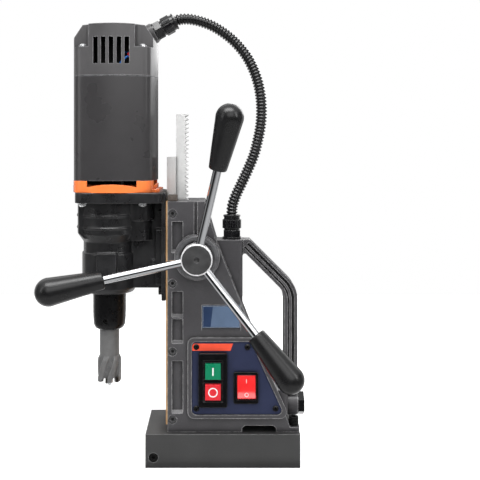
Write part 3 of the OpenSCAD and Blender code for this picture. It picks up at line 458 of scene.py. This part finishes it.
def smooth_route(route, step):
    """Points about step apart on a smooth curve through the route, and the curve's length."""
    dense = []
    for i in range(len(route) - 1):
        p = [Vector(route[max(0, min(len(route) - 1, i + k))]) for k in (-1, 0, 1, 2)]
        for k in range(12):
            t = k / 12
            dense.append(0.5 * (2 * p[1] + (p[2] - p[0]) * t
                                + (2 * p[0] - 5 * p[1] + 4 * p[2] - p[3]) * t ** 2
                                + (3 * p[1] - p[0] - 3 * p[2] + p[3]) * t ** 3))
    dense.append(Vector(route[-1]))
    lengths = [0.0]
    for a, b in zip(dense, dense[1:]):
        lengths.append(lengths[-1] + (b - a).length)
    count = round(lengths[-1] / step)
    points, i = [], 0
    for k in range(count + 1):
        at = lengths[-1] * k / count
        while i < len(dense) - 2 and lengths[i + 1] < at:
            i += 1
        t = (at - lengths[i]) / (lengths[i + 1] - lengths[i])
        points.append(dense[i].lerp(dense[i + 1], t))
    return points, lengths[-1]


def make_conduit():
    radius, depth, pitch, sides = 6.3 * MM, 1.8 * MM, 3.6 * MM, 40
    line, length = smooth_route(mm_points(ROUTE), pitch / 6)
    path = [Vector((p.x, 0, p.y)) for p in line]
    points, faces = [], []
    for i, centre in enumerate(path):
        ahead = (path[min(i + 1, len(path) - 1)] - path[max(i - 1, 0)]).normalized()
        across = Vector((0, 1, 0)).cross(ahead)
        wave = abs(math.cos(math.pi * i / 6))
        r = radius - depth * (1 - wave ** 0.8)
        for k in range(sides):
            a = 2 * math.pi * k / sides
            points.append(centre + r * (math.cos(a) * Vector((0, 1, 0)) + math.sin(a) * across))
    for i in range(len(path) - 1):
        for k in range(sides):
            j = (k + 1) % sides
            faces.append((i * sides + k, i * sides + j, (i + 1) * sides + j, (i + 1) * sides + k))
    faces.append(tuple(range(sides)))
    last = (len(path) - 1) * sides
    faces.append(tuple(range(last + sides - 1, last - 1, -1)))
    obj = new_object("conduit_tube", points, faces)
    obj.data.materials.append(CONDUIT)
    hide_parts("conduit")
    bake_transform(obj)


make_conduit()


# Feed lever ------------------------------------------------------------------

FEED = next(j for j in frame["joints"] if j["name"] == "feed_lever_turn")["pos_m"]
SPOKE_ANGLES = (77, 191, 309)
SPOKE_LEAN = 12
SPOKE_Y = -0.054


def spoke_place(angle):
    """Local Z runs outwards along the spoke at that angle."""
    return (Matrix.Translation((FEED[0], SPOKE_Y, FEED[2]))
            @ Matrix.Rotation(math.radians(-angle), 4, "Y")
            @ Matrix.Rotation(math.radians(-SPOKE_LEAN), 4, "Z")
            @ Matrix.Rotation(math.radians(90), 4, "Y"))


def make_spokes():
    rod = [(0, 9.5), (4.2, 9.5), (4.5, 9.9), (4.5, 118.0), (4.1, 118.5), (0, 118.5)]
    profile = [(r * MM, h * MM) for r, h in rod]
    obj = joined("spoke_rods", [lathe_data(profile, spoke_place(a), 48) for a in SPOKE_ANGLES])
    piece(obj, "feed_lever", CHROME, "chrome", "spokes", bevel=(0.1, 1, 50))


def make_knobs():
    start, length, big = 98.6, 70.0, 14.5
    profile = [(4.52, start + 1.2), (4.7, start + 0.3), (7.6, start), (8.6, start + 0.25),
               (9.3, start + 0.9), (9.62, start + 2.0)]
    centre = start + length - big
    for k in range(1, 12):
        t = k / 12
        profile.append((9.62 + (big - 9.62) * (t ** 0.96),
                        start + 2.0 + (centre - start - 2.0) * t))
    profile += [(big * math.cos(math.radians(a)), centre + big * math.sin(math.radians(a)))
                for a in range(0, 90, 6)]
    profile.append((0, start + length))
    profile = [(r * MM, h * MM) for r, h in profile]
    obj = joined("knob_set", [lathe_data(profile, spoke_place(a), 64) for a in SPOKE_ANGLES])
    piece(obj, "feed_lever", KNOB, "knob_black", "knobs")


def make_boss_face():
    """Machined front face of the column's boss around the hub."""
    front = box_of("feed_bushes")[0].y
    place = side_place(FEED[0], front + 0.6 * MM, FEED[2])
    profile = [(17.2, -0.05), (17.2, 0.3), (22.6, 0.3), (23.0, -0.05)]
    piece(joined("boss_face", [lathe_data([(r * MM, h * MM) for r, h in profile], place, 96)]),
          "root", MACHINED, "zinc")


def make_hub_cap():
    """Turned cap with fine rings, a centre hole and a bright chamfered rim round it."""
    front = box_of("hub_cap")[0].y
    place = side_place(FEED[0], front + 1.6 * MM, FEED[2])
    profile = [(2.5, -1.2), (14.4, -0.9), (15.0, -0.3), (15.0, 1.2), (14.6, 1.6), (14.4, 1.5)]
    for k in range(14):
        r = 14.2 - k * 0.77
        profile += [(r, 1.5), (r - 0.25, 1.42), (r - 0.5, 1.5)]
    profile += [(3.2, 1.5), (2.6, 0.9), (2.4, -1.0), (0, -1.0)]
    obj = joined("hub_face", [lathe_data([(r * MM, h * MM) for r, h in profile], place, 96)])
    piece(obj, "feed_lever", HUB_DARK, "hub_dark", "hub_cap")
    rim = [(15.05, -0.6), (15.05, 0.7), (15.3, 0.95), (15.7, 0.9), (16.3, 0.35), (16.7, -0.4),
           (16.75, -1.4), (16.3, -1.4), (16.1, -0.6), (15.05, -0.6)]
    obj = joined("hub_rim", [lathe_data([(r * MM, h * MM) for r, h in rim], place, 96)])
    piece(obj, "feed_lever", RIM, "chrome")


make_spokes()
make_knobs()
make_hub_cap()
make_boss_face()


# Cutter ----------------------------------------------------------------------

SPINDLE_X = (box_of("spindle")[0].x + box_of("spindle")[1].x) / 2


def make_cutter():
    """Six lands with a flute between each pair, gullets in the rim and a round shank above."""
    teeth, steps, first_tooth, twist = 6, 240, 45, 40
    rim, shoulder, shank_z, bore_z = 82.0, 106.6, 110.9, 106.0
    r_land, r_flute, r_bore, r_shank, r_pilot = 13.0, 10.4, 8.6, 10.9, 4.04
    share = 360 / teeth

    def turn_of(angle):
        return ((angle + first_tooth) % share) / share

    def outer(angle, z):
        t = turn_of(angle - twist * (z - rim) / (shoulder - rim))
        side = min(1.0, max(0.0, (t - 0.02) / 0.05)) * min(1.0, max(0.0, (0.66 - t) / 0.14))
        return r_flute + (r_land - r_flute) * side

    def bottom(angle):
        t = turn_of(angle)
        gullet = min(1.0, max(0.0, (t - 0.52) / 0.1)) * min(1.0, max(0.0, (1.02 - t) / 0.05))
        return rim + 4.0 * gullet + 0.8 * t

    def ring_at(row):
        """Radius and height of one ring, as a function of the angle."""
        kind, t = row
        if kind == "bore":
            return lambda a: (r_bore, bore_z + (bottom(a) - bore_z) * t)
        if kind == "land":
            return lambda a: (outer(a, bottom(a) + (shoulder - bottom(a)) * t),
                              bottom(a) + (shoulder - bottom(a)) * t)
        if kind == "shoulder":
            z = shoulder + (shank_z - shoulder) * t
            return lambda a: (r_shank + (outer(a, z) - r_shank) * (1 - t) ** 0.8, z)
        return lambda a: t

    plain = [(r_shank, 112.0), (r_shank, 140.6), (10.5, 141), (9.525, 141), (9.525, 171.4),
             (8.9, 172), (r_pilot, 172), (r_pilot, bore_z)]
    rows = ([("bore", k / 7) for k in range(8)] + [("land", k / 30) for k in range(31)]
            + [("shoulder", k / 8) for k in range(1, 9)] + [("plain", p) for p in plain])
    points, faces = [], []
    for row in rows:
        at = ring_at(row)
        for k in range(steps):
            angle = 360 * k / steps
            r, z = at(angle)
            a = math.radians(angle)
            points.append(Vector((SPINDLE_X + r * math.cos(a) * MM, r * math.sin(a) * MM, z * MM)))
    for i in range(len(rows)):
        after = (i + 1) % len(rows)
        for k in range(steps):
            j = (k + 1) % steps
            faces.append((i * steps + k, i * steps + j, after * steps + j, after * steps + k))
    piece(joined("cutter_body", [(points, faces)]), "spindle", CUTTER, "cutter_grey", "cutter",
          bevel=(0.12, 1, 40))
    tips = []
    outline = mm_points([(8.9, -0.3), (13.1, -0.3), (13.1, 1.7), (8.9, 1.7)])
    for i in range(teeth):
        place = (Matrix.Translation((SPINDLE_X, 0, 0))
                 @ Matrix.Rotation(math.radians(share * i - first_tooth + 3), 4, "Z"))
        tips.append(prism_data(outline, (rim - 0.1) * MM, (rim + 5.5) * MM, place))
    piece(joined("cutter_tips", tips, False), "spindle", CARBIDE, "cutter_grey",
          bevel=(0.15, 1, 30))


make_cutter()


# Controls --------------------------------------------------------------------

def ring_outline_data(outer, inner, low, high, place):
    """A frame between two outlines with the same number of points."""
    n = len(outer)
    points = [place @ Vector((x, y, z)) for z in (low, high) for x, y in outer + inner]
    faces = []
    for k in range(n):
        j = (k + 1) % n
        faces += [(k, j, n + j, n + k), (2 * n + k, 2 * n + j, 3 * n + j, 3 * n + k),
                  (k, j, 2 * n + j, 2 * n + k), (n + k, n + j, 3 * n + j, 3 * n + k)]
    return points, faces


def make_button_frames():
    parts = []
    for name in ("on_button", "off_button"):
        low, high = box_of(name)
        edge = 0.55 * MM
        outer = soft_rect(low.x - 1.9 * MM, low.z - 1.2 * MM, high.x + 1.9 * MM, high.z + 1.2 * MM,
                          0.8 * MM, 3)
        inner = soft_rect(low.x - edge, low.z - edge, high.x + edge, high.z + edge, 0.4 * MM, 3)
        parts.append(ring_outline_data(outer, inner, 39.3 * MM, 40.3 * MM, side_place(0, 0, 0)))
    piece(joined("button_frames", parts, False), "root", GLOSS_BLACK, "gloss_black",
          bevel=(0.3, 2, 30))


def make_symbols():
    low, high = box_of("on_button")
    cx, cz = (low.x + high.x) / 2, (low.z + high.z) / 2
    bar = mm_points([(-0.75, -4.2), (0.75, -4.2), (0.75, 4.2), (-0.75, 4.2)])
    place = side_place(cx, low.y, cz)
    piece(joined("on_symbol", [prism_data(bar, -0.1 * MM, 0.12 * MM, place)], False), "on_button",
          WHITE, "button_green")
    low, high = box_of("off_button")
    cx, cz = (low.x + high.x) / 2, (low.z + high.z) / 2
    ring = [(3.9, -0.1), (5.1, -0.1), (5.1, 0.12), (3.9, 0.12), (3.9, -0.1)]
    place = side_place(cx, low.y, cz)
    piece(joined("off_symbol", [lathe_data([(r * MM, h * MM) for r, h in ring], place, 48)], True),
          "off_button", WHITE, "button_red", bevel=(0.05, 1, 40))


def make_rocker_symbols():
    """A line on the rocker's upper face and a ring on its lower face."""
    joint = next(j for j in frame["joints"] if j["name"] == "magnet_rocker_tilt")
    x, y, z = joint["pos_m"]

    def on_face(dy, dz, lean):
        return (Matrix.Translation((x, y + dy * MM, z + dz * MM))
                @ Matrix.Rotation(math.radians(90 - lean), 4, "X"))

    bar = mm_points([(-0.4, -2.2), (0.4, -2.2), (0.4, 2.2), (-0.4, 2.2)])
    ring = [(1.5, -0.1), (2.2, -0.1), (2.2, 0.1), (1.5, 0.1), (1.5, -0.1)]
    parts = [prism_data(bar, -0.1 * MM, 0.1 * MM, on_face(-2.93, 6.6, 4.1)),
             lathe_data([(r * MM, h * MM) for r, h in ring], on_face(-6.3, -7.0, 22.5), 40)]
    piece(joined("rocker_symbols", parts, False), "magnet_rocker", PINK, "button_red")


def tube_data(route, radius, sides=12):
    points, faces = [], []
    for i, centre in enumerate(route):
        ahead = (route[min(i + 1, len(route) - 1)] - route[max(i - 1, 0)]).normalized()
        side = ahead.cross(Vector((0, 1, 0.01))).normalized()
        up = side.cross(ahead)
        for k in range(sides):
            a = 2 * math.pi * k / sides
            points.append(centre + radius * (math.cos(a) * side + math.sin(a) * up))
    for i in range(len(route) - 1):
        for k in range(sides):
            j = (k + 1) % sides
            faces.append((i * sides + k, i * sides + j, (i + 1) * sides + j, (i + 1) * sides + k))
    last = (len(route) - 1) * sides
    faces += [tuple(range(sides)), tuple(range(last + sides - 1, last - 1, -1))]
    return points, faces


def make_leads():
    """Two insulated leads from the terminal block past the cap's slots to the brushes."""
    low, high = box_of("terminal_block")
    x = (low.x + high.x) / 2 / MM
    red = [(18, -8, 447), (25, -20, 446), (22, -33, 443.4), (16.4, -37, 441.4), (21, -35, 438),
           (27, -28, 430), (27, -20, 412.6)]
    blue = [(10, -8, 447), (22, -18, 444), (24, -31, 440.4), (16, -37, 438.6), (11.6, -37.4, 434.6),
            (8.4, -37, 431.4), (9, -34, 425), (14, -26, 412.6)]
    for name, paint, slot, route in (("lead_red", LEAD_RED, "button_red", red),
                                     ("lead_blue", LEAD_BLUE, "panel_blue", blue)):
        line = smooth_route([Vector(p) for p in route], 1.0)[0]
        points = [Vector((x + p.x, p.y, p.z)) * MM for p in line]
        piece(joined(name, [tube_data(points, 1.1 * MM)]), "carriage", paint, slot)


def make_glands():
    """Ribbed dome nut, hexagon nut and washer of each conduit gland, over the CAD's own shape."""
    tilt = math.radians(GLAND_TILT)
    start, (end_x, end_z) = ROUTE[0], ROUTE[-1]
    motor_foot = (start[0] - MOTOR_GLAND_LENGTH * math.cos(tilt),
                  start[1] - MOTOR_GLAND_LENGTH * math.sin(tilt))
    for name, body, foot, lean, length, r in (
            ("column_gland", "root", (end_x, COLUMN_GLAND_FOOT), 0, end_z - COLUMN_GLAND_FOOT, 10.5),
            ("motor_gland", "carriage", motor_foot, 90 - GLAND_TILT, MOTOR_GLAND_LENGTH, 10.6)):
        place = (Matrix.Translation((foot[0] * MM, 0, foot[1] * MM))
                 @ Matrix.Rotation(math.radians(lean), 4, "Y"))
        corners = [math.radians(60 * k + 30) for k in range(6)]
        hexagon = [(r * math.cos(a), r * math.sin(a)) for a in corners]
        ribs = []
        for k in range(12):
            for turn, radius in ((2, r), (22, r), (24, r - 1.1), (30, r - 1.1)):
                a = math.radians(30 * k + turn)
                ribs.append((radius * math.cos(a), radius * math.sin(a)))
        parts = [
            lathe_data([(q * MM, h * MM) for q, h in
                        [(5.7, 0), (r, 0), (r, 2), (9.0, 2), (9.0, 9.6), (8.6, 9.9), (8.6, 11.2),
                         (r - 1.5, 11.4), (r - 1.5, length - 5), (8.7, length - 3),
                         (8.7, length - 2), (9.5, length - 1.8), (9.5, length - 0.3),
                         (9.1, length), (7.2, length)]], place, 64),
            prism_data(mm_points(hexagon), 2 * MM, 9.4 * MM, place),
            prism_data(mm_points(ribs), 11.8 * MM, (length - 5.2) * MM, place),
        ]
        piece(joined(name + "_nuts", parts), body, NYLON, "black_nylon", name,
              bevel=(0.45, 2, 30))


def make_stripe():
    low, high = box_of("control_panel")
    x0, z1 = low.x, high.z
    outline = [(0.4, -9.6), (0.4, -4.4), (1.2, -2.6), (2.6, -1.9), (44.0, -1.9), (41.2, -9.6)]
    place = side_place(x0, low.y, z1)
    stripe = prism_data(mm_points(outline), -0.05 * MM, 0.12 * MM, place)
    piece(joined("panel_stripe", [stripe], False), "root", STRIPE, "button_red")


def make_plate_badge():
    low, high = box_of("name_plate")
    width, height = (high.x - low.x) / MM, (high.z - low.z) / MM
    place = side_place(low.x, low.y, low.z)
    dark = mm_points([(1.2, 1.2), (9.0, 1.2), (11.4, height - 1.2), (1.2, height - 1.2)])
    piece(joined("plate_badge", [prism_data(dark, -0.05 * MM, 0.1 * MM, place)], False), "root",
          PLATE_DARK, "panel_blue")
    outer = soft_rect(0.5 * MM, 0.5 * MM, (width - 0.5) * MM, (height - 0.5) * MM, 0.6 * MM, 2)
    inner = soft_rect(0.8 * MM, 0.8 * MM, (width - 0.8) * MM, (height - 0.8) * MM, 0.4 * MM, 2)
    border = ring_outline_data(outer, inner, -0.05 * MM, 0.1 * MM, place)
    piece(joined("plate_border", [border], False), "root", ZINC, "zinc")


make_button_frames()
make_symbols()
make_rocker_symbols()
make_glands()
make_leads()
make_stripe()
make_plate_badge()


# Floor, world and lights --------------------------------------------------------

def make_floor():
    half = 0.95
    points = [(-half, -half, 0), (half, -half, 0), (half, half, 0), (-half, half, 0)]
    floor = new_object("floor", points, [(0, 1, 2, 3)])
    paint = material("floor", (0.86, 0.86, 0.86), 0.8, vary=0.01, vary_size=200, spec=0.2)
    shader = paint.node_tree.nodes["Principled BSDF"]
    shader.inputs["Emission Color"].default_value = (1, 1, 1, 1)
    shader.inputs["Emission Strength"].default_value = 0.32
    floor.data.materials.append(paint)
    floor.visible_glossy = False


def make_world():
    """A dim studio with bright panels above, behind and at the sides, and a pale backdrop."""
    world = bpy.data.worlds.new("studio")
    world.use_nodes = True
    scene.world = world
    nodes, links = world.node_tree.nodes, world.node_tree.links
    split = nodes.new("ShaderNodeSeparateXYZ")
    links.new(nodes.new("ShaderNodeTexCoord").outputs["Generated"], split.inputs[0])

    def math_node(operation, a, b=None):
        node = nodes.new("ShaderNodeMath")
        node.operation = operation
        for socket, value in zip(node.inputs, (a, b)):
            if isinstance(value, (int, float)):
                socket.default_value = value
            elif value is not None:
                links.new(value, socket)
        return node.outputs[0]

    def panel(value, start, end, strength):
        node = nodes.new("ShaderNodeMapRange")
        node.interpolation_type = "SMOOTHSTEP"
        node.inputs["From Min"].default_value = start
        node.inputs["From Max"].default_value = end
        node.inputs["To Max"].default_value = strength
        links.new(value, node.inputs["Value"])
        return node.outputs["Result"]

    left = math_node("MULTIPLY", split.outputs["X"], -1.0)
    down = math_node("MULTIPLY", split.outputs["Z"], -1.0)
    light = math_node("ADD", 0.02, panel(split.outputs["Z"], 0.35, 0.7, 0.8))
    light = math_node("ADD", light, panel(down, 0.3, 0.55, 0.55))
    light = math_node("ADD", light, panel(split.outputs["X"], 0.90, 0.99, 0.25))
    light = math_node("ADD", light, panel(left, 0.85, 0.98, 0.2))
    light = math_node("ADD", light, panel(split.outputs["Y"], 0.42, 0.6, 0.9))
    light = math_node("ADD", light, panel(split.outputs["Y"], 0.80, 0.93, -0.8))
    seen = nodes.new("ShaderNodeLightPath").outputs["Is Camera Ray"]
    mix = nodes.new("ShaderNodeMix")
    mix.data_type = "FLOAT"
    links.new(seen, mix.inputs["Factor"])
    links.new(light, mix.inputs[2])
    mix.inputs[3].default_value = 1.0
    nodes["Background"].inputs["Color"].default_value = (1, 1, 1, 1)
    links.new(mix.outputs[0], nodes["Background"].inputs["Strength"])


def make_light(name, place, aim, size, power):
    data = bpy.data.lights.new(name, "AREA")
    data.shape = "RECTANGLE"
    data.size, data.size_y = size
    data.energy = power
    light = bpy.data.objects.new(name, data)
    light.location = place
    light.rotation_euler = (Vector(aim) - Vector(place)).to_track_quat("-Z", "Y").to_euler()
    scene.collection.objects.link(light)


make_floor()
make_world()
# Place, aim, size in metres and watts of each light
MIDDLE = (-0.05, 0, 0.25)
LIGHTS = {
    "top": ((-0.1, -0.5, 1.35), MIDDLE, (1.1, 0.5), 15),
    "right": ((1.2, -0.85, 0.9), MIDDLE, (0.3, 0.9), 5),
    "left": ((-1.3, -0.8, 0.7), MIDDLE, (0.3, 0.9), 2.5),
    "front": ((0.15, -1.35, 0.85), MIDDLE, (1.3, 0.7), 5),
    "back": ((0.5, 1.2, 0.9), (0, 0, 0.25), (1.0, 0.7), 8),
}
for light_name, (place, aim, size, power) in LIGHTS.items():
    make_light(light_name, place, aim, size, power)
scene.view_settings.view_transform = "Standard"
